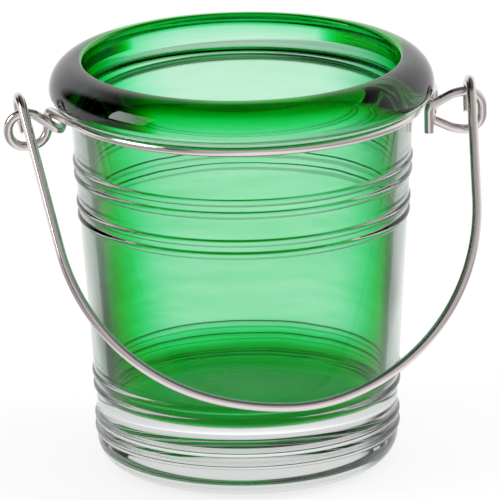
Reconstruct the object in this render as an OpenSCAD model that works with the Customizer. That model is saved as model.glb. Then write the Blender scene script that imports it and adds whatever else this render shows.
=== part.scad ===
// Glass votive holder in the form of a small pail, with a wire round its neck and a wire bail.
// Millimetres. The cup stands on z = 0 with its axis on Z and the eyes of the neck wire are
// on the X axis. The bail hangs in them and leans on the front of the glass, towards -Y.

/* [Glass] */
// Height of the cup
cup_h = 76; // [64:0.5:90]
// Outer diameter of the rolled rim
rim_d = 70; // [60:0.5:84]
// Width of the rolled rim, from its outside to the mouth
rim_w = 6.2; // [6:0.1:6.8]
// How far the rim stands out over the neck
rim_over = 3.7; // [3.5:0.05:3.9]
// How far the wall closes in from the neck down to the foot
wall_taper = 3.8; // [2:0.1:5]
// Thickness of the wall above the clear base
wall = 2.3; // [1.8:0.1:2.8]
// Thickness of the clear base under the candle
base_h = 13.3; // [6:0.1:18]
// Height of the rolled rim, from its underside to its top
rim_h = 7.7; // [7.2:0.1:8.4]
// Radius of the rim's lower outer edge
rim_edge_r = 2.25; // [1.8:0.05:2.6]
// Radius of the corner where the neck meets the rim
neck_edge_r = 0.5; // [0.2:0.05:0.7]
// Radius of the edge round the foot
foot_edge_r = 5.3; // [3:0.1:6]
// Radius inside, where the wall meets the base
floor_edge_r = 1.3; // [0.5:0.1:6]

/* [Ribs] */
// How far each rib stands out of the wall
rib_h = 0.4; // [0.2:0.05:0.5]
// Radius of a rib's round back
rib_r = 0.85; // [0.7:0.05:1.4]
// Distance between the two ribs of a pair
rib_pitch = 2.35; // [1.9:0.05:3]
// Height of the lower rib of the pair at the foot
foot_ribs_z = 6.9; // [6:0.1:8]
// Height of the lower rib of the pair outside the candle's floor
floor_ribs_z = 15; // [13:0.1:17]
// Depth of the lower rib of the waist pair below the rim
waist_ribs_drop = 21.1; // [19:0.1:24]
// Depth of the lower rib of the shoulder pair below the rim
shoulder_ribs_drop = 13.4; // [12:0.1:15]

/* [Wire] */
// Diameter of the wire
wire_d = 1.75; // [1.5:0.05:1.8]
// Clearance between the wire and the neck of the glass
wire_gap = 0.1; // [0.05:0.05:0.2]
// Clearance between the rim's underside and the wire
rim_gap = 0.15; // [0.05:0.05:0.3]
// Radius of the tight bends where the eyes start, at the middle of the wire
root_bend_r = 1.5; // [1.3:0.05:1.6]
// Radius of the eyes' round corners, at the middle of the wire
eye_bend_r = 3.2; // [3.1:0.05:3.25]
// Radius of the arched strands of the right eye, at the middle of the wire
eye_arch_r = 6; // [5:0.2:6]
// How far the left eye reaches out past the rim
left_eye_reach = 7.65; // [7.5:0.05:8]
// How far the right eye reaches out past the rim
right_eye_reach = 9; // [8.8:0.1:9.4]
// How far the left eye reaches below the wire's front strand
left_eye_low = 6.5; // [6.4:0.1:7]
// How far the right eye reaches below the wire's front strand
right_eye_low = 7.8; // [7.5:0.1:8.2]
// Length of the cut tail that hangs below the right root
tail_len = 4.9; // [3:0.1:6]
// Length of the cut end that is bent back under the rear strand
tuck_len = 2.1; // [1.9:0.1:2.3]

/* [Bail] */
// Distance from the rim to the middle of the left leg, at the height of the pivot
left_leg_off = 5.1; // [5:0.05:5.2]
// Distance from the rim to the middle of the right leg, at the height of the pivot
right_leg_off = 6.6; // [6.5:0.05:6.7]
// Length of the bail, from the pivot to its lowest point
bail_drop = 56.9; // [54:0.1:58]
// How far the bail's lowest point lies to the right of the axis
bail_low_x = 5.3; // [4:0.1:7]
// Angle at which the left leg closes in
left_splay = 10.8; // [10:0.1:11.4]
// Angle at which the right leg closes in
right_splay = 1.4; // [1:0.1:2]
// Radius of the bail's two side bends
bail_side_r = 37.8; // [33:0.1:39]
// Angle that each half of the flatter bend at the bottom turns through
bail_flat_turn = 16; // [12:0.5:20]
// Radius of the hooks, at the middle of the wire
hook_r = 3.2; // [3.1:0.05:3.25]
// How far the middle of the left hook's bend lies below the pivot
left_hook_seat = 0.1; // [0:0.05:0.9]
// How far the middle of the right hook's bend lies below the pivot
right_hook_seat = 0.9; // [0.6:0.05:0.95]
// Length of a hook's free end past the pivot
hook_tip = 2.9; // [2.2:0.1:3.1]
// Clearance between the bail and the glass that it leans on
lean_gap = 0.5; // [0.4:0.05:0.8]

/* [Hidden] */
$fn = 96;
wire_fn = 24;
bend_fn = 48;
// Straight runs shorter than this are left out of a wire
least_run = 0.001;
// Collar over the joint between two pieces of a wire, which end just short of it
collar_r = wire_d / 2 + 0.03;
collar_len = 0.2;
join_gap = 0.03;

wire_r = wire_d / 2;
rim_r = rim_d / 2;
mouth_r = rim_r - rim_w;
neck_r = rim_r - rim_over;
foot_r = neck_r - wall_taper;

// Glass: the wall is straight up to taper_z and widens from there to the neck
rim_z = cup_h - rim_h;
rib_pairs_z = [foot_ribs_z, floor_ribs_z, rim_z - waist_ribs_drop, rim_z - shoulder_ribs_drop];
taper_z = (foot_ribs_z + rib_pitch + floor_ribs_z) / 2;
crown_r = rim_h - rim_edge_r;
crown_x = rim_r - crown_r;
lip_r = crown_x - mouth_r;
wall_slope = wall_taper / (rim_z - taper_z);
bore_r = glass_r(base_h) - wall;
bore_tilt = atan((mouth_r - bore_r) / (rim_z - base_h));
floor_x = bore_r - floor_edge_r * (1 - sin(bore_tilt)) / cos(bore_tilt);

// Neck wire: the radius and height of its strands, and where the eyes start
ring_r = neck_r + wire_gap + wire_r;
ring_z = rim_z - rim_gap - wire_r;
root_x = ring_r + wire_d + 0.05;
left_eye_out = rim_r + left_eye_reach;
right_eye_out = rim_r + right_eye_reach;
front_y = -0.75;
back_y = 1.25;

right_eye = [
    [root_x, front_y, ring_z - 2.3 - tail_len, 0],
    [root_x, front_y, ring_z - 2.3, root_bend_r],
    [right_eye_out - 5.5, -0.4, ring_z - 0.1, eye_arch_r],
    [right_eye_out, 0, ring_z + 0.75, eye_bend_r],
    [right_eye_out, 0.5, ring_z - right_eye_low, eye_bend_r],
    [right_eye_out - 5.4, 0.9, 0.8 + ring_z - right_eye_low, eye_arch_r],
    [root_x + 0.5, back_y, ring_z - 5.1, root_bend_r],
    [root_x + 0.5, back_y, ring_z - 2.1, root_bend_r]
];

left_eye = [
    [-ring_r - 1.1, front_y - 0.15, ring_z - 3.4, 1.4],
    [4.6 - left_eye_out, -0.5, ring_z - 0.1, 2.6],
    [-left_eye_out, 0, ring_z + 0.4, eye_bend_r],
    [-left_eye_out, 0.5, ring_z - left_eye_low, eye_bend_r],
    [-root_x - 1.3, back_y, ring_z - left_eye_low, eye_bend_r],
    [-root_x - 1.3, back_y, ring_z, root_bend_r]
];

tuck_x = root_x + 1.7;
tuck_y = 5.3;
rear_strand = round_neck(last(right_eye), left_eye[0], 0.997 * ring_r, 5.2);
front_strand = round_neck(last(left_eye), [tuck_x, tuck_y], ring_r, 0);
tuck_way = unit([tuck_x, tuck_y, 0] - flat(front_strand[0]));

neck_corners = concat(right_eye, rear_strand, left_eye, front_strand, [
    [tuck_x, tuck_y, ring_z, 1.9],
    [tuck_x, tuck_y, ring_z - 4.4, 1.9],
    [tuck_x - tuck_len * tuck_way.x, tuck_y - tuck_len * tuck_way.y, ring_z - 4.4, 0]
]);

// Bail: its pivot runs through the tops of the eyes, and its plane lies hook_r in front of it
pivot_y = -0.2;
pivot_z = ring_z - 0.08;
left_half = half_bail(rim_r + left_leg_off + bail_low_x, left_splay, left_hook_seat);
right_half = half_bail(rim_r + right_leg_off - bail_low_x, right_splay, right_hook_seat);
bail_corners = concat(left_half, [for (i = [len(right_half) - 1:-1:0]) mirrored(right_half[i])]);

// Angle from upright at which the bail's bend rests on the front of the glass
wall_tilt = atan(wall_slope);
lean_reach = norm([bail_drop, hook_r]);
lean_depth = (glass_r(pivot_z) + pivot_y) * cos(wall_tilt) + wire_r + lean_gap;
lean = asin(lean_depth / lean_reach) - atan(hook_r / bail_drop) - wall_tilt;

function last(v) = v[len(v) - 1];
function unit(v) = v / norm(v);
function flat(p) = [p.x, p.y, 0];
function point(p) = [p.x, p.y, p.z];
function mirrored(p) = [-p.x, p.y, p.z, p[3]];

// Outer radius of the wall at a height, without its ribs
function glass_r(z) = foot_r + wall_slope * max(0, z - taper_z);

// Corners of the left half of a bail that hangs straight down, with its lowest point under the
// origin, and whose leg crosses the pivot's height at leg_x
function half_bail(leg_x, splay, seat) =
    let (side_turn = 90 - splay - bail_flat_turn,
         flat_r = (leg_x - bail_side_r * (cos(splay) - sin(bail_flat_turn))
             - tan(splay) * (bail_drop - bail_side_r * (cos(bail_flat_turn) - sin(splay))))
             / (sin(bail_flat_turn) - tan(splay) * (1 - cos(bail_flat_turn))),
         low_reach = flat_r * tan(bail_flat_turn / 2),
         side_reach = low_reach + bail_side_r * tan(side_turn / 2))
    [leg_point(leg_x, splay, hook_tip, hook_r, 0),
     leg_point(leg_x, splay, seat - hook_r, hook_r, hook_r),
     leg_point(leg_x, splay, seat - hook_r, -hook_r, hook_r),
     [-low_reach - side_reach * cos(bail_flat_turn), -hook_r,
         -bail_drop + side_reach * sin(bail_flat_turn), bail_side_r],
     [-low_reach, -hook_r, -bail_drop, flat_r]];

// Corner on a leg's line, at a distance along it from the pivot
function leg_point(leg_x, splay, along, y, bend_r) =
    [along * sin(splay) - leg_x, y, -along * cos(splay), bend_r];

// Direction from the axis at which a line from p touches the neck wire's circle
function touch_angle(p, side) = atan2(p.y, p.x) + side * acos(ring_r / norm([p.x, p.y]));

// Corner of a strand that goes round the neck from p to q, raised so that the strand slopes
function round_neck(p, q, bend_r, rise) =
    let (start = touch_angle(p, 1), end = touch_angle(q, -1),
         half = ((end - start + 720) % 360) / 2,
         r = ring_r / cos(half))
    [[r * cos(start + half), r * sin(start + half), ring_z + rise, bend_r]];

// How a wire is bent at its corner i
function way(c, i) = unit(point(c[i + 1]) - point(c[i]));
function turn(c, i) = acos(way(c, i - 1) * way(c, i));
function trim(c, i) = i == 0 || i == len(c) - 1 ? 0 : c[i][3] * tan(turn(c, i) / 2);
function run(c, i) = norm(point(c[i]) - point(c[i - 1])) - trim(c, i - 1) - trim(c, i);
function inward(c, i) = unit(way(c, i) - (way(c, i) * way(c, i - 1)) * way(c, i - 1));
function carried(c, i) = cos(turn(c, i)) * inward(c, i) - sin(turn(c, i)) * way(c, i - 1);
function roll(c, i) = i == 1 ? 0 : atan2(
    cross(carried(c, i - 1), inward(c, i)) * way(c, i - 1),
    carried(c, i - 1) * inward(c, i));

// Wire along the corners c, from its corner i on: the wire runs along +X and bends towards +Y.
// A collar that is a hair wider than the wire joins each end of a bend to what it meets.
module bent_wire(c, i = 1) {
    end = i == len(c) - 1;
    near_gap = i == 1 ? 0 : join_gap;
    far_gap = end ? 0 : join_gap;
    straight = run(c, i) > least_run;
    rotate([end ? 0 : roll(c, i), 0, 0]) {
        if (straight)
            translate([near_gap, 0, 0])
                along_x(run(c, i) - near_gap - far_gap, wire_r);
        if (!end)
            translate([run(c, i), 0, 0]) {
                wire_bend(c[i][3], turn(c, i));
                if (straight)
                    collar();
                translate([0, c[i][3], 0])
                    rotate([0, 0, turn(c, i)])
                        translate([0, -c[i][3], 0]) {
                            collar();
                            bent_wire(c, i + 1);
                        }
            }
    }
}

module along_x(length, r) {
    rotate([0, 90, 0])
        cylinder(r = r, h = length, $fn = wire_fn);
}

module collar() {
    translate([-collar_len / 2, 0, 0])
        along_x(collar_len, collar_r);
}

// Bend of a wire that comes from the origin along +X and turns towards +Y
module wire_bend(bend_r, angle) {
    gap_angle = join_gap / bend_r * 180 / PI;
    translate([0, bend_r, 0])
        rotate([0, 0, gap_angle - 90])
            rotate_extrude(angle = angle - 2 * gap_angle, $fn = bend_fn)
                translate([bend_r, 0])
                    circle(r = wire_r, $fn = wire_fn);
}

// Wire along the corners c, laid where they are
module laid_wire(c) {
    x = way(c, 0);
    y = inward(c, 1);
    z = cross(x, y);
    multmatrix([
        [x.x, y.x, z.x, c[0].x],
        [x.y, y.y, z.y, c[0].y],
        [x.z, y.z, z.z, c[0].z],
        [0, 0, 0, 1]
    ])
        bent_wire(c);
}

// Half section of the wall, the foot and the clear base, filled to the axis
module body_section() {
    polygon([
        [0, 0],
        [foot_r - foot_edge_r, 0],
        [foot_r, foot_edge_r],
        [foot_r, taper_z],
        [neck_r, rim_z],
        [neck_r, rim_z + rim_edge_r],
        [0, rim_z + rim_edge_r]
    ]);
    translate([foot_r - foot_edge_r, foot_edge_r])
        circle(r = foot_edge_r);
    for (low_z = rib_pairs_z, z = [low_z, low_z + rib_pitch])
        translate([glass_r(z) + rib_h - rib_r, z])
            circle(r = rib_r);
}

// Half section of the rolled rim: a round crown over a smaller round edge
module rim_section() {
    translate([0, rim_z])
        square([rim_r - rim_edge_r, rim_edge_r]);
    translate([rim_r - rim_edge_r, rim_z + rim_edge_r])
        circle(r = rim_edge_r);
    intersection() {
        translate([crown_x, rim_z + rim_edge_r])
            circle(r = crown_r);
        translate([crown_x, rim_z + rim_edge_r])
            square(crown_r);
    }
    translate([0, rim_z + rim_edge_r])
        square([crown_x, crown_r - lip_r]);
    translate([crown_x, cup_h - lip_r])
        circle(r = lip_r);
    difference() {
        translate([neck_r - 0.2, rim_z - neck_edge_r])
            square([neck_edge_r + 0.2, neck_edge_r]);
        translate([neck_r + neck_edge_r, rim_z - neck_edge_r])
            circle(r = neck_edge_r);
    }
}

// Half section of the hollow for the candle
module bore_section() {
    polygon([
        [-1, base_h],
        [floor_x, base_h],
        [floor_x + floor_edge_r * cos(bore_tilt), base_h + floor_edge_r * (1 - sin(bore_tilt))],
        [mouth_r, rim_z],
        [mouth_r, cup_h - lip_r],
        [-1, cup_h - lip_r]
    ]);
    translate([floor_x, base_h + floor_edge_r])
        circle(r = floor_edge_r);
}

module glass_cup() {
    color("mediumseagreen", 0.5)
        rotate_extrude()
            difference() {
                union() {
                    body_section();
                    rim_section();
                }
                bore_section();
            }
}

module neck_wire() {
    color("gainsboro")
        laid_wire(neck_corners);
}

module bail_handle() {
    color("silver")
        translate([bail_low_x, pivot_y, pivot_z])
            rotate([-lean, 0, 0])
                laid_wire(bail_corners);
}

glass_cup();
neck_wire();
bail_handle();
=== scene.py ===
"""Glass votive holder in the form of a small pail: green glass with a clear base, a steel wire
round its neck and a wire bail that leans on its front."""

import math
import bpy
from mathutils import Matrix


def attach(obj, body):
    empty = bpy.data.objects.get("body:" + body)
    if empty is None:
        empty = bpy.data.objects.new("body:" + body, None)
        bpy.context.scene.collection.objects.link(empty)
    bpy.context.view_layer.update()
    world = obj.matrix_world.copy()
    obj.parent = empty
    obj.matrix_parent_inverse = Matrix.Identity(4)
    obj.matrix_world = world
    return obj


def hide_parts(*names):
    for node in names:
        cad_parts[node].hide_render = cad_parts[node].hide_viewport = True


bl_info = {
    "name": "Glass Votive Pail",
    "version": (1, 0, 0),
    "blender": (4, 5, 0),
    "location": "View3D > Sidebar > Votive Pail",
    "description": "Makes a glass votive pail with its wire eyes, its bail and a pale studio",
    "category": "Object",
}

import bpy
from bpy.props import FloatProperty, FloatVectorProperty, IntProperty, PointerProperty
from mathutils import Matrix, Vector

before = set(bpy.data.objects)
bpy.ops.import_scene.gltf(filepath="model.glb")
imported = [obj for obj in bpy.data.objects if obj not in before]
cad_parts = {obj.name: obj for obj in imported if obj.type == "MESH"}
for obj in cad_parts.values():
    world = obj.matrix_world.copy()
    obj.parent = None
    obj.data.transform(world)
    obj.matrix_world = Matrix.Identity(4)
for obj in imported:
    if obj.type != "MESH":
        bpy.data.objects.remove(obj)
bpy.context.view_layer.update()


# Sizes and colours


def length(name, description, default):
    """Length that a user can set, in metres."""
    return FloatProperty(name=name, description=description, default=default, unit="LENGTH")


def angle(name, description, degrees):
    """Angle that a user can set, with its default in degrees."""
    turn = math.radians(degrees)
    return FloatProperty(name=name, description=description, default=turn, subtype="ANGLE")


def number(name, description, default):
    """Number without a unit that a user can set."""
    return FloatProperty(name=name, description=description, default=default, min=0.0)


def tint(name, description, default):
    """Colour that a user can set."""
    return FloatVectorProperty(
        name=name, description=description, size=3, default=default, subtype="COLOR"
    )


class GlassSettings(bpy.types.PropertyGroup):
    """Sizes of the glass"""

    height: length("Height", "Height of the cup", 0.076)
    rim_radius: length("Rim radius", "Outer radius of the rolled rim", 0.035)
    rim_width: length("Rim width", "Width of the rolled rim, from its outside to the mouth", 0.0062)
    rim_over: length("Rim overhang", "How far the rim stands out over the neck", 0.0037)
    wall_taper: length("Taper", "How far the wall closes in from the neck to the foot", 0.0038)
    wall: length("Wall", "Thickness of the wall above the base", 0.0023)
    base_height: length("Base height", "Thickness of the clear base", 0.0133)
    rim_height: length("Rim height", "Height of the rolled rim", 0.0077)
    rim_edge: length("Rim edge", "Radius of the rim's lower outer edge", 0.00225)
    neck_edge: length("Neck edge", "Radius of the corner under the rim", 0.0005)
    foot_edge: length("Foot edge", "Radius of the edge round the foot", 0.0053)
    floor_edge: length("Floor edge", "Radius inside, where the wall meets the base", 0.0013)
    rib_height: length("Rib height", "How far a rib stands out", 0.0004)
    rib_radius: length("Rib radius", "Radius of a rib's back", 0.00085)
    rib_pitch: length("Rib pitch", "Distance between the ribs of a pair", 0.00235)
    rib_blend: length("Rib blend", "How softly a rib meets the wall", 0.00006)
    foot_ribs: length("Foot ribs", "Height of the lower rib at the foot", 0.0069)
    floor_ribs: length("Floor ribs", "Height of the lower rib at the candle's floor", 0.015)
    waist_drop: length("Waist ribs", "Depth of the lower waist rib under the rim", 0.0211)
    shoulder_drop: length("Shoulder ribs", "Depth of the lower shoulder rib under the rim", 0.0134)
    rib_step: length("Rib step", "Height of the facets on the ribs", 0.00012)
    wall_step: length("Wall step", "Height of the facets between the ribs", 0.0005)
    segments: IntProperty(name="Segments", description="Facets round the glass", default=192, min=24)


class StainSettings(bpy.types.PropertyGroup):
    """Colours of the glass, how thick its green stain is, and painted shade on its slanted wall and the
    rim's ends
    """

    clear: tint("Clear glass", "Colour of the outside of the glass", (0.97, 1.0, 0.98))
    # Painted shade: tint that darkens the clear wall where it is met at a slant
    edge: tint("Glass edge", "Colour of the clear wall where it is met at a slant", (0.25, 0.36, 0.28))
    first: tint("Green stain", "Colour of the first coat of stain inside the cup", (0.29, 0.76, 0.43))
    further: tint("Thick stain", "Colour of each further coat of stain", (0.144, 0.864, 0.40))
    floor_coats: number("Floor coats", "Further coats where the inside faces up", 3.6)
    wall_coats: number("Wall coats", "Further coats where the wall is met at a slant", 30.0)
    crown_coats: number("Crown coats", "Coats on the rim's outside where it faces up", 6.5)
    upright_coats: number("Upright coats", "Coats on the rim's outside where it stands upright", 0.8)
    # Painted shade: extra coats that make the rim's left and right ends nearly black, the left darker
    left_end_shade: number("Left coats", "Further coats on the left end of the rim", 34.0)
    right_end_shade: number("Right coats", "Further coats on the right end of the rim", 11.9)
    lip_coats: number("Lip coats", "Further coats round the lip", 4.0)


class WireSettings(bpy.types.PropertyGroup):
    """Sizes and colour of the steel wire, and of the eyes that it makes at the neck"""

    diameter: length("Diameter", "Diameter of the wire", 0.00175)
    colour: tint("Steel", "Colour of the polished steel", (0.78, 0.70, 0.70))
    sides: IntProperty(name="Sides", description="Facets round the wire", default=24, min=8)
    step: length("Step", "Length of the facets along the bends", 0.0003)
    neck_gap: length("Neck gap", "Clearance between the wire and the neck", 0.0001)
    rim_gap: length("Rim gap", "Clearance between the rim's underside and the wire", 0.00015)
    root_bend: length("Root bend", "Radius of the tight bends where the eyes start", 0.0015)
    eye_bend: length("Eye bend", "Radius of the eyes' round corners", 0.0032)
    eye_arch: length("Eye arch", "Radius of the right eye's arched strands", 0.006)
    left_reach: length("Left reach", "How far the left eye reaches out past the rim", 0.00765)
    right_reach: length("Right reach", "How far the right eye reaches out past the rim", 0.009)
    left_low: length("Left drop", "How far the left eye reaches below the strand", 0.0065)
    right_low: length("Right drop", "How far the right eye reaches below the strand", 0.0078)
    tail: length("Tail", "Length of the cut tail below the right eye", 0.0049)
    tuck: length("Tuck", "Length of the cut end bent back under the rear strand", 0.0021)


class BailSettings(bpy.types.PropertyGroup):
    """Sizes of the bail"""

    left_leg: length("Left leg", "Distance from the rim to the left leg at the pivot", 0.0051)
    right_leg: length("Right leg", "Distance from the rim to the right leg at the pivot", 0.0066)
    drop: length("Drop", "Length from the pivot to the lowest point", 0.0569)
    low_x: length("Low point", "How far the lowest point lies to the right", 0.0053)
    left_splay: angle("Left splay", "Angle at which the left leg closes in", 10.8)
    right_splay: angle("Right splay", "Angle at which the right leg closes in", 1.4)
    side_radius: length("Side radius", "Radius of the two side bends", 0.0378)
    flat_turn: angle("Flat turn", "Turn of each half of the flatter bend at the bottom", 16.0)
    hook: length("Hook", "Radius of the hooks", 0.0032)
    left_seat: length("Left seat", "How far the left hook's bend lies below the pivot", 0.0001)
    right_seat: length("Right seat", "How far the right hook's bend lies below the pivot", 0.0009)
    tip: length("Hook tip", "Length of a hook's free end past the pivot", 0.0029)
    lean_gap: length("Lean gap", "Clearance between the bail and the glass", 0.0005)


class StageSettings(bpy.types.PropertyGroup):
    """Floor and camera"""

    floor_colour: tint("Floor", "Colour of the floor", (0.86, 0.86, 0.86))
    floor_size: length("Floor size", "Length of the floor's sides", 24.0)
    shadow_share: number("Shadow", "How much of the floor's white is lit, and so shows shadow", 0.2)
    distance: length("Camera distance", "Level distance of the camera from the axis", 1.7993)
    camera_height: length("Camera height", "Height of the camera", 0.5808)
    camera_side: length("Camera side", "How far the camera stands to the right", 0.00246)
    azimuth: angle("Azimuth", "Angle of the camera round the glass", -6.4)
    yaw: angle("Yaw", "Angle at which the camera looks to the right", -0.047)
    pitch: angle("Pitch", "Angle at which the camera looks down", 16.75)
    roll: angle("Roll", "Angle at which the camera is tipped", -1.039)
    lens: number("Lens", "Focal length in millimetres", 742.5)


# Profile of the glass


def neck_radius(glass):
    """Outer radius just under the rim."""
    return glass.rim_radius - glass.rim_over


def rim_base(glass):
    """Height of the rim's underside."""
    return glass.height - glass.rim_height


def crown_radius(glass):
    """Radius of the rim's rounded outside."""
    return glass.rim_height - glass.rim_edge


def taper_start(glass):
    """Height at which the wall starts to widen."""
    return (glass.foot_ribs + glass.rib_pitch + glass.floor_ribs) / 2


def wall_slope(glass):
    """How much the wall's radius grows for each metre of height."""
    return glass.wall_taper / (rim_base(glass) - taper_start(glass))


def wall_radius(glass, z):
    """Outer radius of the wall at a height, without its ribs."""
    foot = neck_radius(glass) - glass.wall_taper
    return foot + wall_slope(glass) * max(0.0, z - taper_start(glass))


def arc(cx, cz, r, start, end, count):
    """Points on a circle about (cx, cz), between two angles in degrees."""
    angles = [math.radians(start + (end - start) * i / count) for i in range(count + 1)]
    return [(cx + r * math.cos(a), cz + r * math.sin(a)) for a in angles]


def rib_crests(glass):
    """Heights of the ribs, which stand in pairs."""
    rim_z = rim_base(glass)
    lower = (glass.foot_ribs, glass.floor_ribs, rim_z - glass.waist_drop, rim_z - glass.shoulder_drop)
    return [z + i * glass.rib_pitch for z in lower for i in (0, 1)]


def ribbed_wall(glass):
    """Points (radius, height) of the wall's outside, fine on the ribs and wider apart between."""
    crests = rib_crests(glass)
    points = []
    z = glass.foot_edge
    while z < rim_base(glass) - glass.neck_edge - glass.wall_step:
        nearest = min(abs(z - crest) for crest in crests)
        z += glass.rib_step if nearest < glass.rib_radius + glass.wall_step else glass.wall_step
        r = wall_radius(glass, z)
        for crest in crests:
            rise = glass.rib_radius**2 - (z - crest) ** 2
            if rise > 0:
                back = wall_radius(glass, crest) + glass.rib_height - glass.rib_radius
                r = soft_max(r, back + math.sqrt(rise), glass.rib_blend)
        points.append((r, z))
    return points


def soft_max(a, b, blend):
    """The larger of two radii, rounded where they cross."""
    h = max(0.0, min(1.0, 0.5 + (a - b) / (2 * blend)))
    return b + (a - b) * h + blend * h * (1 - h)


def outer_profile(glass):
    """Points (radius, height) of the outside, from the middle of the underside to the rim's widest."""
    rim_z = rim_base(glass)
    foot = wall_radius(glass, 0) - glass.foot_edge
    neck = neck_radius(glass) + glass.neck_edge
    points = [(foot * share, 0.0) for share in (0.0, 0.4, 0.8)]
    points += arc(foot, glass.foot_edge, glass.foot_edge, -90, 0, 16)
    points += ribbed_wall(glass)
    points += arc(neck, rim_z - glass.neck_edge, glass.neck_edge, 180, 90, 6)
    points += arc(glass.rim_radius - glass.rim_edge, rim_z + glass.rim_edge, glass.rim_edge, -90, 0, 14)
    return points


def crown_profile(glass):
    """Points (radius, height) of the rim's rounded outside, from its widest to its top."""
    crown = crown_radius(glass)
    return arc(glass.rim_radius - crown, glass.height - crown, crown, 0, 90, 24)[1:]


def inner_profile(glass):
    """Points (radius, height) of the mouth and the hollow, down to the middle of its floor."""
    rim_z = rim_base(glass)
    mouth = glass.rim_radius - glass.rim_width
    lip = glass.rim_width - crown_radius(glass)
    bore = wall_radius(glass, glass.base_height) - glass.wall
    tilt = math.atan((mouth - bore) / (rim_z - glass.base_height))
    edge = glass.floor_edge
    floor = bore - edge * (1 - math.sin(tilt)) / math.cos(tilt)
    corner = arc(floor, glass.base_height + edge, edge, -math.degrees(tilt), -90, 12)
    points = arc(mouth + lip, glass.height - lip, lip, 90, 180, 8)[1:]
    points += [(mouth, rim_z + (glass.height - lip - rim_z) * share) for share in (0.66, 0.33)]
    rows = 40
    for i in range(rows):
        down = i / rows
        points.append((mouth + (corner[0][0] - mouth) * down, rim_z + (corner[0][1] - rim_z) * down))
    points += corner
    points += [(floor * share, glass.base_height) for share in (0.75, 0.5, 0.25, 0.0)]
    return points


# Paths of the wires, as the solids have them: corners of straight runs, each with a bend radius

# Clearance between the strand round the neck and the wire that stands beside it in an eye
ROOT_GAP = 0.00005
# Where the front and the rear strand of an eye leave the neck
FRONT_Y = -0.00075
BACK_Y = 0.00125
# Where the bail's pivot lies: a little to the front, and below the middle of the strand
PIVOT_Y = -0.0002
PIVOT_DROP = 0.00008


def strand(glass, wire):
    """Radius and height of the strands round the neck, and how far out the eyes start."""
    ring = neck_radius(glass) + wire.neck_gap + wire.diameter / 2
    top = rim_base(glass) - wire.rim_gap - wire.diameter / 2
    root = ring + wire.diameter + ROOT_GAP
    return ring, top, root


def right_eye(glass, wire):
    """Corners (x, y, z, bend radius) of the right eye, from its cut tail to the rear strand."""
    ring, top, root = strand(glass, wire)
    out = glass.rim_radius + wire.right_reach
    low = top - wire.right_low
    return [
        (root, FRONT_Y, top - 0.0023 - wire.tail, 0),
        (root, FRONT_Y, top - 0.0023, wire.root_bend),
        (out - 0.0055, -0.0004, top - 0.0001, wire.eye_arch),
        (out, 0, top + 0.00075, wire.eye_bend),
        (out, 0.0005, low, wire.eye_bend),
        (out - 0.0054, 0.0009, low + 0.0008, wire.eye_arch),
        (root + 0.0005, BACK_Y, top - 0.0051, wire.root_bend),
        (root + 0.0005, BACK_Y, top - 0.0021, wire.root_bend),
    ]


def left_eye(glass, wire):
    """Corners of the left eye, from the rear strand to the front one."""
    ring, top, root = strand(glass, wire)
    out = -glass.rim_radius - wire.left_reach
    low = top - wire.left_low
    return [
        (-ring - 0.0011, FRONT_Y - 0.00015, top - 0.0034, 0.0014),
        (out + 0.0046, -0.0005, top - 0.0001, 0.0026),
        (out, 0, top + 0.0004, wire.eye_bend),
        (out, 0.0005, low, wire.eye_bend),
        (-root - 0.0013, BACK_Y, low, wire.eye_bend),
        (-root - 0.0013, BACK_Y, top, wire.root_bend),
    ]


def neck_path(glass, wire):
    """Corners of the wire round the neck, from its cut tail to its tucked end."""
    ring, top, root = strand(glass, wire)
    right, left = right_eye(glass, wire), left_eye(glass, wire)
    tuck, under, bend = Vector((root + 0.0017, 0.0053)), top - 0.0044, 0.0019
    rear = round_neck(right[-1], left[0], ring, 0.997 * ring, top + 0.0052)
    front = round_neck(left[-1], tuck, ring, ring, top)
    end = tuck - (tuck - Vector(front[:2])).normalized() * wire.tuck
    return right + [rear] + left + [front, (*tuck, top, bend), (*tuck, under, bend), (*end, under, 0)]


def round_neck(p, q, ring, bend, z):
    """Corner of a strand that goes round the neck from p to q."""
    start = math.atan2(p[1], p[0]) + math.acos(ring / math.hypot(p[0], p[1]))
    end = math.atan2(q[1], q[0]) - math.acos(ring / math.hypot(q[0], q[1]))
    half = ((end - start) % math.tau) / 2
    r = ring / math.cos(half)
    return (r * math.cos(start + half), r * math.sin(start + half), z, bend)


def bail_path(glass, wire, bail):
    """Corners of the bail, leaning on the front of the glass."""
    left_x = glass.rim_radius + bail.left_leg + bail.low_x
    right_x = glass.rim_radius + bail.right_leg - bail.low_x
    left = half_bail(bail, left_x, bail.left_splay, bail.left_seat)
    right = half_bail(bail, right_x, bail.right_splay, bail.right_seat)
    corners = left + [(-x, y, z, bend) for x, y, z, bend in reversed(right)]
    pivot = Vector((bail.low_x, PIVOT_Y, strand(glass, wire)[1] - PIVOT_DROP))
    tilt = math.atan(wall_slope(glass))
    depth = (wall_radius(glass, pivot.z) + pivot.y) * math.cos(tilt) + wire.diameter / 2 + bail.lean_gap
    lean = math.asin(depth / math.hypot(bail.drop, bail.hook)) - math.atan(bail.hook / bail.drop) - tilt
    turn = Matrix.Rotation(-lean, 3, "X")
    return [(*(turn @ Vector(corner[:3]) + pivot), corner[3]) for corner in corners]


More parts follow.
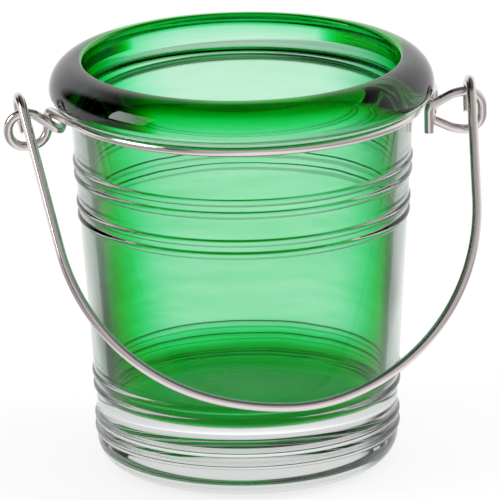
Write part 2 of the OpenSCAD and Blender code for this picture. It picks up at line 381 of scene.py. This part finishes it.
def half_bail(bail, leg_x, splay, seat):
    """Corners of a bail's left half, hanging with its lowest point under the origin."""
    side_r, flat, hook, drop = bail.side_radius, bail.flat_turn, bail.hook, bail.drop
    flat_r = (
        leg_x
        - side_r * (math.cos(splay) - math.sin(flat))
        - math.tan(splay) * (drop - side_r * (math.cos(flat) - math.sin(splay)))
    ) / (math.sin(flat) - math.tan(splay) * (1 - math.cos(flat)))
    low = flat_r * math.tan(flat / 2)
    side = low + side_r * math.tan((math.pi / 2 - splay - flat) / 2)

    def leg(along, y, bend):
        return (along * math.sin(splay) - leg_x, y, -along * math.cos(splay), bend)

    return [
        leg(bail.tip, hook, 0),
        leg(seat - hook, hook, hook),
        leg(seat - hook, -hook, hook),
        (-low - side * math.cos(flat), -hook, side * math.sin(flat) - drop, side_r),
        (-low, -hook, -drop, flat_r),
    ]


def bent_line(corners, step):
    """Points along a wire that bends at each corner by its radius."""
    least_run, least_count = 1e-5, 6
    points = [Vector(corners[0][:3])]
    for (*a, _), (*b, bend), (*c, _) in zip(corners, corners[1:], corners[2:]):
        into, out = (Vector(b) - Vector(a)).normalized(), (Vector(c) - Vector(b)).normalized()
        turn = into.angle(out)
        inward = (out - into * into.dot(out)).normalized()
        start = Vector(b) - into * bend * math.tan(turn / 2)
        count = max(least_count, math.ceil(bend * turn / step))
        if (start - points[-1]).length > least_run:
            points.append(start)
        for i in range(1, count + 1):
            t = turn * i / count
            points.append(start + into * bend * math.sin(t) + inward * bend * (1 - math.cos(t)))
    points.append(Vector(corners[-1][:3]))
    return points


# Geometry Nodes that sweep a line round the glass or along a wire


def new_tree(name, inputs):
    """Empty node group that takes and gives geometry, with its named inputs."""
    tree = bpy.data.node_groups.new(name, "GeometryNodeTree")
    tree.interface.new_socket("Geometry", in_out="INPUT", socket_type="NodeSocketGeometry")
    tree.interface.new_socket("Geometry", in_out="OUTPUT", socket_type="NodeSocketGeometry")
    for label, kind in inputs:
        tree.interface.new_socket(label, in_out="INPUT", socket_type="NodeSocket" + kind)
    return tree


def chain(tree, geometry, *steps):
    """Puts steps after a geometry, each taking the last one's, and returns the last one's geometry."""
    for step in steps:
        tree.links.new(geometry, step.inputs[0])
        geometry = step.outputs[0]
    return geometry


def turned_glass_nodes():
    """Node group that turns a profile round a circle at the rim. The profile lies flat, with X
    outwards and Y down, and its coat tells which faces get the rim's stain (1) and the inside's (2)."""
    tree = new_tree(
        "turned_glass",
        (("Radius", "Float"), ("Segments", "Int"))
        + (("Clear Glass", "Material"), ("Rim Stain", "Material"), ("Inside Stain", "Material")),
    )
    node, link = tree.nodes.new, tree.links.new
    given, made = node("NodeGroupInput"), node("NodeGroupOutput")
    ring = node("GeometryNodeCurvePrimitiveCircle")
    link(given.outputs["Segments"], ring.inputs["Resolution"])
    link(given.outputs["Radius"], ring.inputs["Radius"])
    line, sweep = node("GeometryNodeMeshToCurve"), node("GeometryNodeCurveToMesh")
    link(given.outputs["Geometry"], line.inputs["Mesh"])
    link(line.outputs["Curve"], sweep.inputs["Profile Curve"])
    poles = node("GeometryNodeMergeByDistance")
    poles.inputs["Distance"].default_value = 1e-6
    steps = [sweep, poles, node("GeometryNodeFlipFaces"), node("GeometryNodeSetShadeSmooth")]
    solid = chain(tree, ring.outputs["Curve"], *steps, node("GeometryNodeRealizeInstances"))
    coat = node("GeometryNodeInputNamedAttribute")
    coat.data_type = "FLOAT"
    coat.inputs["Name"].default_value = "coat"
    for name, least in (("Clear Glass", None), ("Rim Stain", 0.25), ("Inside Stain", 1.25)):
        paint = node("GeometryNodeSetMaterial")
        link(given.outputs[name], paint.inputs["Material"])
        solid = chain(tree, solid, paint)
        if least is not None:
            stained = node("FunctionNodeCompare")
            stained.operation = "GREATER_THAN"
            stained.inputs["B"].default_value = least
            link(coat.outputs["Attribute"], stained.inputs["A"])
            link(stained.outputs["Result"], paint.inputs["Selection"])
    link(solid, made.inputs["Geometry"])
    return tree


def round_wire_nodes():
    """Node group that turns an edge path into a round wire with closed ends."""
    tree = new_tree("round_wire", (("Radius", "Float"), ("Sides", "Int"), ("Material", "Material")))
    node, link = tree.nodes.new, tree.links.new
    given, made = node("NodeGroupInput"), node("NodeGroupOutput")
    ring = node("GeometryNodeCurvePrimitiveCircle")
    link(given.outputs["Sides"], ring.inputs["Resolution"])
    link(given.outputs["Radius"], ring.inputs["Radius"])
    path, sweep = node("GeometryNodeMeshToCurve"), node("GeometryNodeCurveToMesh")
    sweep.inputs["Fill Caps"].default_value = True
    link(ring.outputs["Curve"], sweep.inputs["Profile Curve"])
    paint = node("GeometryNodeSetMaterial")
    link(given.outputs["Material"], paint.inputs["Material"])
    steps = [path, sweep, node("GeometryNodeSetShadeSmooth"), node("GeometryNodeRealizeInstances")]
    link(chain(tree, given.outputs["Geometry"], *steps, paint), made.inputs["Geometry"])
    return tree


def line_mesh(name, points):
    """Mesh of edges from point to point."""
    mesh = bpy.data.meshes.new(name + "_line")
    mesh.from_pydata(points, [(i, i + 1) for i in range(len(points) - 1)], [])
    return mesh


def swept(name, line, tree, given):
    """Plain mesh that a node group makes of a line, with the group's inputs given by name."""
    source = bpy.data.objects.new(line.name, line)
    bpy.context.scene.collection.objects.link(source)
    maker = source.modifiers.new(tree.name, "NODES")
    maker.node_group = tree
    for socket in tree.interface.items_tree:
        if socket.in_out == "INPUT" and socket.name in given:
            maker[socket.identifier] = given[socket.name]
    shown = source.evaluated_get(bpy.context.evaluated_depsgraph_get())
    made = bpy.data.meshes.new_from_object(shown)
    made.name = name
    bpy.data.objects.remove(source)
    bpy.data.meshes.remove(line)
    return made


# Materials


class Shading:
    """Nodes of one material or world, with short ways to add and link them"""

    def __init__(self, tree):
        self.nodes = tree.nodes
        self.links = tree.links

    def give(self, value, socket):
        """Gives a socket a plain value or the result of another node."""
        if isinstance(value, bpy.types.NodeSocket):
            self.links.new(value, socket)
        else:
            socket.default_value = value

    def maths(self, operation, first, *others):
        """Result of an operation on sockets and plain numbers, taken one after another."""
        for other in others:
            node = self.nodes.new("ShaderNodeMath")
            node.operation = operation
            self.give(first, node.inputs[0])
            self.give(other, node.inputs[1])
            first = node.outputs["Value"]
        return first

    def absolute(self, value):
        """A value without its sign."""
        node = self.nodes.new("ShaderNodeMath")
        node.operation = "ABSOLUTE"
        self.give(value, node.inputs[0])
        return node.outputs["Value"]

    def map_range(self, value, given, wanted, kind="SMOOTHSTEP"):
        """A value carried from one range to another."""
        change = self.nodes.new("ShaderNodeMapRange")
        change.interpolation_type = kind
        for name, limit in zip(("From Min", "From Max", "To Min", "To Max"), given + wanted):
            change.inputs[name].default_value = limit
        self.give(value, change.inputs["Value"])
        return change.outputs["Result"]

    def vectors(self, operation, a, b):
        """Result of an operation on two vectors or colours."""
        node = self.nodes.new("ShaderNodeVectorMath")
        node.operation = operation
        self.give(a, node.inputs[0])
        self.give(b, node.inputs[1])
        return node.outputs["Vector"]

    def split(self, vector):
        """X, Y and Z of a vector."""
        parts = self.nodes.new("ShaderNodeSeparateXYZ")
        self.give(vector, parts.inputs["Vector"])
        return parts.outputs["X"], parts.outputs["Y"], parts.outputs["Z"]

    def place(self):
        """Place on the object."""
        return self.nodes.new("ShaderNodeTexCoord").outputs["Object"]

    def rays(self):
        """What kind of ray looks."""
        return self.nodes.new("ShaderNodeLightPath").outputs

    def slant(self):
        """How much the surface is met at a slant, from 0 to 1."""
        return self.nodes.new("ShaderNodeLayerWeight").outputs["Facing"]

    def noise(self, place, scale, detail):
        """Soft noise over a place."""
        cloud = self.nodes.new("ShaderNodeTexNoise")
        cloud.inputs["Scale"].default_value = scale
        cloud.inputs["Detail"].default_value = detail
        self.give(place, cloud.inputs["Vector"])
        return cloud.outputs["Fac"]

    def coated(self, colour, coats):
        """Colour that is left after a number of coats."""
        tinted = self.nodes.new("ShaderNodeGamma")
        tinted.inputs["Color"].default_value = (*colour, 1)
        self.give(coats, tinted.inputs["Gamma"])
        return tinted.outputs["Color"]

    def bump(self, height, strength, depth, shader):
        """Relief of a shader."""
        relief = self.nodes.new("ShaderNodeBump")
        relief.inputs["Strength"].default_value = strength
        relief.inputs["Distance"].default_value = depth
        self.give(height, relief.inputs["Height"])
        self.give(relief.outputs["Normal"], shader.inputs["Normal"])

    def only_for(self, ray, value):
        """1, or a value for one kind of ray."""
        less = self.maths("MULTIPLY", self.maths("SUBTRACT", 1.0, value), ray)
        return self.maths("SUBTRACT", 1.0, less)


def new_material(name):
    """Node material, with its shading nodes and its Principled shader."""
    material = bpy.data.materials.new(name)
    material.use_nodes = True
    return material, Shading(material.node_tree), material.node_tree.nodes["Principled BSDF"]


def new_glass(name, waves, wave_strength):
    """Polished see-through glass, with the faint waves of its mould."""
    material, on, shader = new_material(name)
    shader.inputs["Transmission Weight"].default_value = 1.0
    shader.inputs["IOR"].default_value = 1.5
    shader.inputs["Roughness"].default_value = 0.0
    on.bump(on.noise(on.place(), waves, 1.0), wave_strength, 0.001, shader)
    return material, on, shader


# Share of its mirror's brightness that the glass keeps face on, so that its colours stay deep
GLASS_MIRROR = 0.15


def clear_glass(glass, stain):
    """Clear outside of the glass, with painted shade: the wall round the hollow is darkened where it is
    met at a slant, more at the left, because the light there is mirrored away by the stain behind it."""
    material, on, shader = new_glass("clear_glass", 110.0, 0.03)
    x, _, z = on.split(on.place())
    slant, base, rim_z = on.slant(), glass.base_height, rim_base(glass)
    # Painted shade: coats of the edge tint where the wall is met at a slant, heavier at the left, none
    # on the base or under the rim
    coats = on.maths(
        "MULTIPLY",
        on.map_range(slant, (0.5, 0.6), (0.0, 1.0)),
        on.map_range(slant, (0.62, 0.75), (1.0, 0.55)),
        on.map_range(x, (-0.02, 0.02), (1.2, 1.0)),
        on.map_range(z, (base, base + 0.004), (0.0, 1.0)),
        on.map_range(z, (rim_z - 0.002, rim_z - 0.0005), (1.0, 0.0)),
    )
    colour = on.vectors("MULTIPLY", tuple(stain.clear), on.coated(stain.edge, coats))
    on.give(colour, shader.inputs["Base Color"])
    shader.inputs["Specular Tint"].default_value = (GLASS_MIRROR, GLASS_MIRROR, GLASS_MIRROR, 1)
    return material


def facing_up(on):
    """How level the surface lies, from 0 where it stands upright to 1."""
    normal = on.nodes.new("ShaderNodeNewGeometry").outputs["True Normal"]
    return on.absolute(on.split(normal)[2])


def lip_stain(on, z, glass, stain):
    """Coats of the dense band round the lip."""
    return on.map_range(z, (glass.height - 0.0024, glass.height - 0.0012), (0.0, stain.lip_coats))


def stain_glass(on, shader, x_ends, coats):
    """Gives a shader its stain, of pairs of a colour and its coats, with clouds and streaks. Its
    mirror is brighter at the left and right ends."""
    place = on.place()
    flat = on.vectors("MULTIPLY", place, (1, 1, 7))
    cloud = on.map_range(on.noise(place, 45.0, 2.0), (0.3, 0.7), (0.92, 1.08))
    streak = on.map_range(on.noise(flat, 60.0, 4.0), (0.3, 0.7), (0.88, 1.12))
    uneven = on.maths("MULTIPLY", cloud, streak)
    left = [on.coated(colour, on.maths("MULTIPLY", uneven, count)) for colour, count in coats]
    for other in left[1:]:
        left[0] = on.vectors("MULTIPLY", left[0], other)
    on.give(left[0], shader.inputs["Base Color"])
    mirror = on.map_range(x_ends, (0.0, 1.0), (GLASS_MIRROR, 1.0))
    on.give(mirror, shader.inputs["Specular Tint"])


def far_out(on, x):
    """1 at the left and right ends of the cup, and 0 between them."""
    return on.map_range(on.absolute(x), (0.018, 0.027), (0.0, 1.0))


def rim_stain(glass, stain):
    """Green stain on the rim's rounded outside, thick where it faces up, with painted shade: thicker in
    front than at the back, and nearly black at its left and right ends, the left darker."""
    material, on, shader = new_glass("rim_stain", 90.0, 0.04)
    x, y, z = on.split(on.place())
    ends = far_out(on, x)
    crown = on.map_range(facing_up(on), (0.08, 1.0), (stain.upright_coats, stain.crown_coats), "LINEAR")
    # Painted shade: the crown's stain thins from the front to the back
    back = on.map_range(y, (-0.015, 0.015), (1.0, 0.2))
    # Painted shade: the rim's ends are darker at the left than at the right
    painted_end_shade = on.map_range(x, (-0.02, 0.02), (stain.left_end_shade, stain.right_end_shade))
    coats = on.maths(
        "ADD",
        on.maths("MULTIPLY", crown, back),
        lip_stain(on, z, glass, stain),
        on.maths("MULTIPLY", ends, painted_end_shade),
    )
    stain_glass(on, shader, ends, [(stain.further, coats)])
    return material


def inside_stain(glass, stain):
    """Stain inside the cup: one coat all over, and more on the floor, round the lip, and where the wall
    is met at a slant; darker in the corner above the floor and towards the bottom of the wall, and
    painted shade that makes the slanted wall darker at the left than at the right."""
    material, on, shader = new_glass("inside_stain", 90.0, 0.04)
    x, _, z = on.split(on.place())
    level, base = facing_up(on), glass.base_height
    wall = on.maths(
        "MULTIPLY",
        on.maths("POWER", on.slant(), 3.0),
        stain.wall_coats,
        # Painted shade: the slanted wall is darker at the left than at the right
        on.map_range(x, (-0.02, 0.02), (1.3, 0.5)),
        on.map_range(z, (base, 0.05), (1.8, 1.0)),
        on.maths("SUBTRACT", 1.0, level),
    )
    coats = on.maths(
        "ADD",
        on.map_range(level, (0.08, 1.0), (0.0, stain.floor_coats), "LINEAR"),
        wall,
        lip_stain(on, z, glass, stain),
        # Darker in the corner just above the floor
        on.map_range(z, (base + 0.006, base + 0.001), (0.0, stain.floor_coats)),
    )
    stain_glass(on, shader, far_out(on, x), [(stain.first, 1.0), (stain.further, coats)])
    return material


def polished_steel(colour):
    """Drawn steel wire: bright, with fine pits and a few dull spots."""
    material, on, shader = new_material("polished_steel")
    shader.inputs["Metallic"].default_value = 1.0
    shader.inputs["Base Color"].default_value = (*colour, 1)
    spots = on.noise(on.place(), 900.0, 4.0)
    on.give(on.map_range(spots, (0.0, 1.0), (0.12, 0.28), "LINEAR"), shader.inputs["Roughness"])
    on.bump(spots, 0.08, 0.0001, shader)
    return material


# Stage


def make_floor(stage):
    """Wide pale floor just under the glass. What glass shows of it is bright behind the cup and
    dimmer in front and beside it, and its mirror image is dark to the left and right."""
    half, under = stage.floor_size / 2, -0.0002
    mesh = bpy.data.meshes.new("floor")
    corners = [(x * half, y * half, under) for x, y in ((-1, -1), (1, -1), (1, 1), (-1, 1))]
    mesh.from_pydata(corners, [], [(0, 1, 2, 3)])
    floor = bpy.data.objects.new("floor", mesh)
    bpy.context.scene.collection.objects.link(floor)
    material, on, shader = new_material("pale_floor")
    shader.inputs["Base Color"].default_value = (*stage.floor_colour, 1)
    shader.inputs["Roughness"].default_value = 0.9
    shader.inputs["Specular IOR Level"].default_value = 0.0
    x, y, _ = on.split(on.place())
    ray = on.rays()
    off = on.absolute(on.maths("SUBTRACT", x, 0.012))
    beside = on.map_range(off, (0.035, 0.075), (0.96, 0.5))
    behind = on.map_range(y, (0.04, 0.10), (0.6, 1.0))
    through = on.only_for(ray["Is Transmission Ray"], on.maths("MINIMUM", beside, behind))
    far_beside = on.map_range(off, (0.05, 0.11), (1.0, 0.25))
    far_behind = on.map_range(y, (0.03, 0.09), (0.25, 1.0))
    mirrored = on.only_for(ray["Is Glossy Ray"], on.maths("MAXIMUM", far_beside, far_behind))
    white = on.nodes.new("ShaderNodeEmission")
    on.give(on.maths("MULTIPLY", through, mirrored), white.inputs["Strength"])
    seen = on.maths("MAXIMUM", ray["Is Camera Ray"], ray["Is Glossy Ray"], ray["Is Transmission Ray"])
    mix = on.nodes.new("ShaderNodeMixShader")
    on.give(on.maths("MULTIPLY", seen, 1 - stage.shadow_share), mix.inputs["Fac"])
    on.give(shader.outputs["BSDF"], mix.inputs[1])
    on.give(white.outputs["Emission"], mix.inputs[2])
    on.give(mix.outputs["Shader"], on.nodes["Material Output"].inputs["Surface"])
    mesh.materials.append(material)


def make_world():
    """Room that is white where it is seen, dimmer through glass, and mirrored with a dark ceiling
    and with dark cards high at the left and level at the left."""
    world = bpy.data.worlds.new("studio")
    bpy.context.scene.world = world
    world.use_nodes = True
    on = Shading(world.node_tree)
    x, y, z = on.split(on.nodes.new("ShaderNodeTexCoord").outputs["Generated"])
    ray = on.rays()
    ceiling = on.map_range(z, (0.5, 0.82), (1.0, 0.15))
    front = on.map_range(y, (-0.5, 0.35), (0.6, 1.0))
    inside = on.maths("MULTIPLY", ray["Is Transmission Ray"], 0.8)
    room = on.maths("MAXIMUM", on.maths("MULTIPLY", ceiling, front), inside)
    high_card = on.maths(
        "MULTIPLY",
        on.map_range(x, (-0.25, -0.05), (1.0, 0.0)),
        on.map_range(z, (0.7, 0.85), (0.0, 1.0)),
    )
    level_card = on.maths(
        "MULTIPLY",
        on.map_range(x, (-0.72, -0.5), (1.0, 0.0)),
        on.map_range(z, (-0.05, 0.1), (0.0, 1.0)),
    )
    bare = on.maths("SUBTRACT", 1.0, on.maths("MAXIMUM", high_card, level_card))
    room = on.maths("MULTIPLY", room, bare, on.only_for(ray["Is Transmission Ray"], 0.68))
    seen = on.maths("MAXIMUM", room, ray["Is Camera Ray"], ray["Is Diffuse Ray"])
    background = on.nodes["Background"]
    on.give(seen, background.inputs["Strength"])
    background.inputs["Color"].default_value = (1, 1, 1, 1)


def make_lamp(name, spot, size, power, mirrored):
    """Soft square lamp that lights the glass, and may show in what the glass and steel mirror."""
    data = bpy.data.lights.new(name, "AREA")
    data.shape = "SQUARE"
    data.size = size
    data.energy = power
    lamp = bpy.data.objects.new(name, data)
    lamp.location = spot
    lamp.visible_glossy = mirrored
    lamp.visible_transmission = False
    middle = Vector((0, 0, 0.04))
    lamp.rotation_euler = (middle - Vector(spot)).to_track_quat("-Z", "Y").to_euler()
    bpy.context.scene.collection.objects.link(lamp)


def make_camera(stage):
    """Camera where the photograph was taken from."""
    yaw, pitch, roll = stage.yaw, stage.pitch, stage.roll
    spot = Vector((stage.camera_side, -stage.distance, stage.camera_height))
    ahead = Vector((math.sin(yaw) * math.cos(pitch), math.cos(yaw) * math.cos(pitch), -math.sin(pitch)))
    right = ahead.cross(Vector((0, 0, 1))).normalized()
    up = right.cross(ahead)
    tipped_right = right * math.cos(roll) + up * math.sin(roll)
    tipped_up = up * math.cos(roll) - right * math.sin(roll)
    axes = Matrix((tipped_right, tipped_up, -ahead)).transposed()
    turn = Matrix.Rotation(stage.azimuth, 3, "Z")
    data = bpy.data.cameras.new("camera")
    data.lens = stage.lens
    data.sensor_width = 36.0
    data.clip_start, data.clip_end = 0.1, 100.0
    camera = bpy.data.objects.new("camera", data)
    camera.matrix_world = Matrix.Translation(turn @ spot) @ (turn @ axes).to_4x4()
    bpy.context.scene.collection.objects.link(camera)
    bpy.context.scene.camera = camera


# Operators


def place_piece(name, mesh, body, node):
    """Object of a finished mesh, which rides on its body and stands for its solid."""
    piece = bpy.data.objects.new(name, mesh)
    bpy.context.scene.collection.objects.link(piece)
    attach(piece, body)
    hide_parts(node)


def wire_mesh(name, corners, wire):
    """Plain mesh of a steel wire along its corners."""
    steel = bpy.data.materials.get("polished_steel") or polished_steel(wire.colour)
    tree = bpy.data.node_groups.get("round_wire") or round_wire_nodes()
    given = {"Radius": wire.diameter / 2, "Sides": wire.sides, "Material": steel}
    return swept(name, line_mesh(name, bent_line(corners, wire.step)), tree, given)


class VOTIVE_OT_glass(bpy.types.Operator):
    """Makes the glass, clear outside and stained green inside"""

    bl_idname = "votive.glass"
    bl_label = "Glass"

    def execute(self, context):
        glass, stain = context.scene.votive_glass, context.scene.votive_stain
        profiles = (outer_profile(glass), crown_profile(glass), inner_profile(glass))
        line = line_mesh("glass", [(r - glass.rim_radius, -z, 0) for part in profiles for r, z in part])
        coat = line.attributes.new("coat", "FLOAT", "POINT")
        coat.data.foreach_set("value", [float(i) for i, part in enumerate(profiles) for _ in part])
        given = {
            "Radius": glass.rim_radius,
            "Segments": glass.segments,
            "Clear Glass": clear_glass(glass, stain),
            "Rim Stain": rim_stain(glass, stain),
            "Inside Stain": inside_stain(glass, stain),
        }
        mesh = swept("glass", line, turned_glass_nodes(), given)
        mesh.attributes.remove(mesh.attributes["coat"])
        place_piece("glass", mesh, "holder", "glass_cup")
        return {"FINISHED"}


class VOTIVE_OT_neck_wire(bpy.types.Operator):
    """Makes the wire that goes round the neck and forms the two eyes"""

    bl_idname = "votive.neck_wire"
    bl_label = "Neck wire"

    def execute(self, context):
        glass, wire = context.scene.votive_glass, context.scene.votive_wire
        mesh = wire_mesh("wire_round_neck", neck_path(glass, wire), wire)
        place_piece("wire_round_neck", mesh, "holder", "neck_wire")
        return {"FINISHED"}


class VOTIVE_OT_bail(bpy.types.Operator):
    """Makes the bail with its two hooks"""

    bl_idname = "votive.bail"
    bl_label = "Bail"

    def execute(self, context):
        glass, wire = context.scene.votive_glass, context.scene.votive_wire
        mesh = wire_mesh("bail", bail_path(glass, wire, context.scene.votive_bail), wire)
        place_piece("bail", mesh, "bail", "bail_handle")
        return {"FINISHED"}


class VOTIVE_OT_stage(bpy.types.Operator):
    """Makes the floor, the room, the lamps and the camera"""

    bl_idname = "votive.stage"
    bl_label = "Stage"

    def execute(self, context):
        stage = context.scene.votive_stage
        make_floor(stage)
        make_world()
        make_lamp("lamp_left", spot=(-1.75, -0.35, 0.75), size=0.9, power=14.0, mirrored=True)
        make_lamp("lamp_right", spot=(1.2, -0.2, 1.1), size=0.6, power=9.0, mirrored=False)
        make_camera(stage)
        context.scene.view_settings.view_transform = "Standard"
        return {"FINISHED"}


class VOTIVE_PT_panel(bpy.types.Panel):
    """Lists the pieces of the votive pail and their settings"""

    bl_idname = "VOTIVE_PT_panel"
    bl_label = "Votive Pail"
    bl_space_type = "VIEW_3D"
    bl_region_type = "UI"
    bl_category = "Votive Pail"

    def draw(self, context):
        scene = context.scene
        for operator, *groups in (
            ("votive.stage", scene.votive_stage),
            ("votive.glass", scene.votive_glass, scene.votive_stain),
            ("votive.neck_wire", scene.votive_wire),
            ("votive.bail", scene.votive_bail),
        ):
            box = self.layout.box()
            box.operator(operator)
            for settings in groups:
                for name in settings.__annotations__:
                    box.prop(settings, name)


SETTINGS = {
    "votive_glass": GlassSettings,
    "votive_stain": StainSettings,
    "votive_wire": WireSettings,
    "votive_bail": BailSettings,
    "votive_stage": StageSettings,
}

CLASSES = (
    *SETTINGS.values(),
    VOTIVE_OT_glass,
    VOTIVE_OT_neck_wire,
    VOTIVE_OT_bail,
    VOTIVE_OT_stage,
    VOTIVE_PT_panel,
)


def register():
    for cls in CLASSES:
        bpy.utils.register_class(cls)
    for name, settings in SETTINGS.items():
        setattr(bpy.types.Scene, name, PointerProperty(type=settings))


def unregister():
    for name in SETTINGS:
        delattr(bpy.types.Scene, name)
    for cls in reversed(CLASSES):
        bpy.utils.unregister_class(cls)


def main():
    register()
    bpy.ops.votive.stage()
    bpy.ops.votive.glass()
    bpy.ops.votive.neck_wire()
    bpy.ops.votive.bail()


if __name__ == "__main__":
    main()
